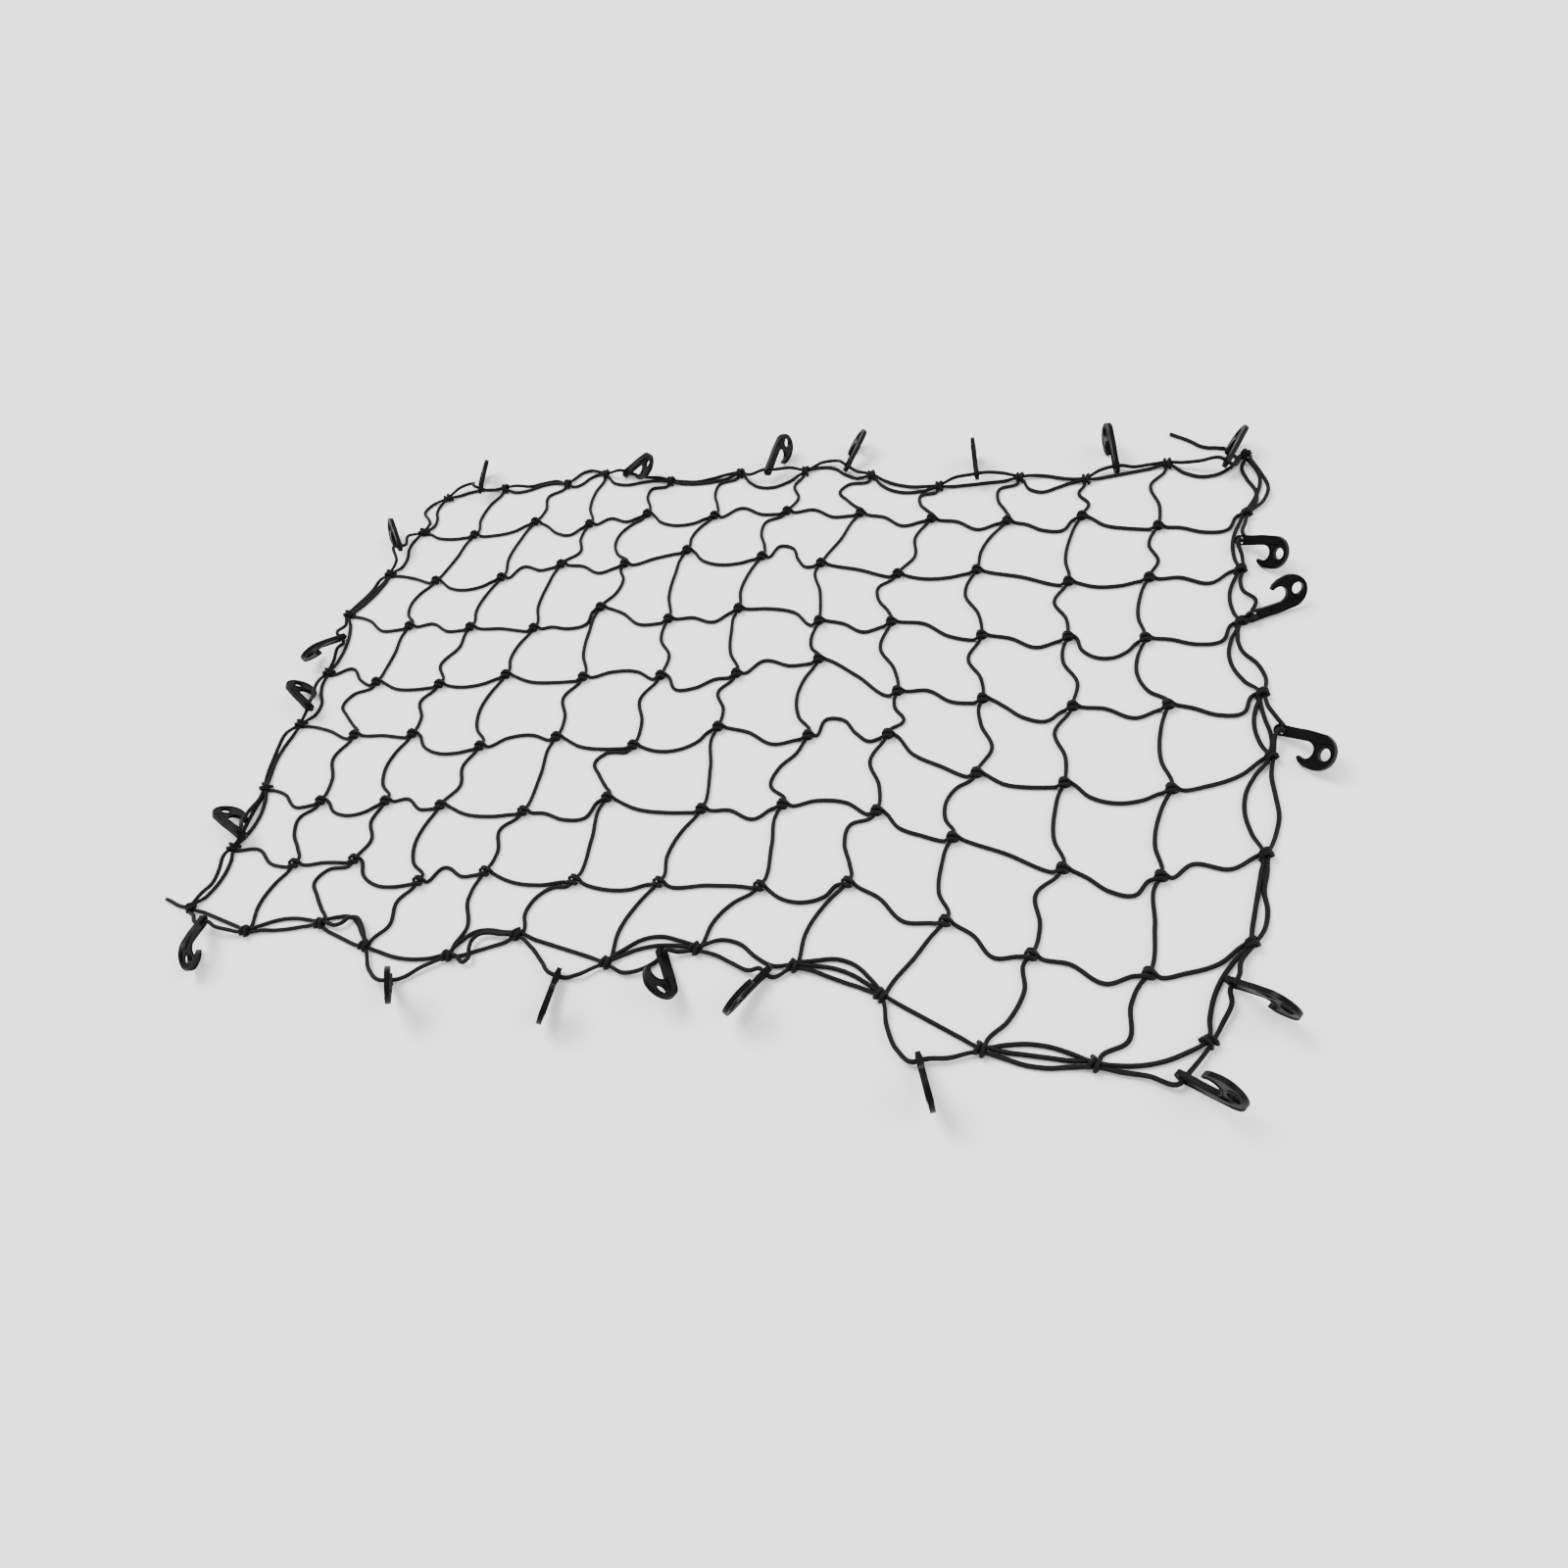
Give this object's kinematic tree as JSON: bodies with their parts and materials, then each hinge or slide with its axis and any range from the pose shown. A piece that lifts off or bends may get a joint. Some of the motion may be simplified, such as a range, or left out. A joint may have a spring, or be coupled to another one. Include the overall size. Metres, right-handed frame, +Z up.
{
  "type": "elastic cargo net",
  "caption": "Black elastic cargo net laid out slack, with knotted square meshes, a doubled edge cord and plastic hooks round it.",
  "frame": {"origin": "the middle of the box round the net and its hooks, on the surface that the net lies on", "axes": "+X along the long side to the right, +Y across the net towards the back edge, +Z up"},
  "size_m": [1.904, 1.4278, 0.0858],
  "materials": {
    "cord": "black braided sleeve over an elastic core",
    "edge_cord": "black braided sleeve over an elastic core",
    "hook_plastic": "black moulded plastic, satin"
  },
  "bodies": {
    "root": {"net_mesh": "cord", "edge_cord": "edge_cord", "hook_01": "hook_plastic", "hook_02": "hook_plastic", "hook_03": "hook_plastic", "hook_04": "hook_plastic", "hook_05": "hook_plastic", "hook_06": "hook_plastic", "hook_07": "hook_plastic", "hook_08": "hook_plastic", "hook_09": "hook_plastic", "hook_10": "hook_plastic", "hook_11": "hook_plastic", "hook_12": "hook_plastic", "hook_13": "hook_plastic", "hook_14": "hook_plastic", "hook_15": "hook_plastic", "hook_16": "hook_plastic", "hook_17": "hook_plastic", "hook_18": "hook_plastic", "hook_19": "hook_plastic", "hook_20": "hook_plastic", "hook_21": "hook_plastic", "hook_22": "hook_plastic", "loose_end_back_right": "edge_cord", "loose_end_front_left": "edge_cord"}
  },
  "joints": []
}
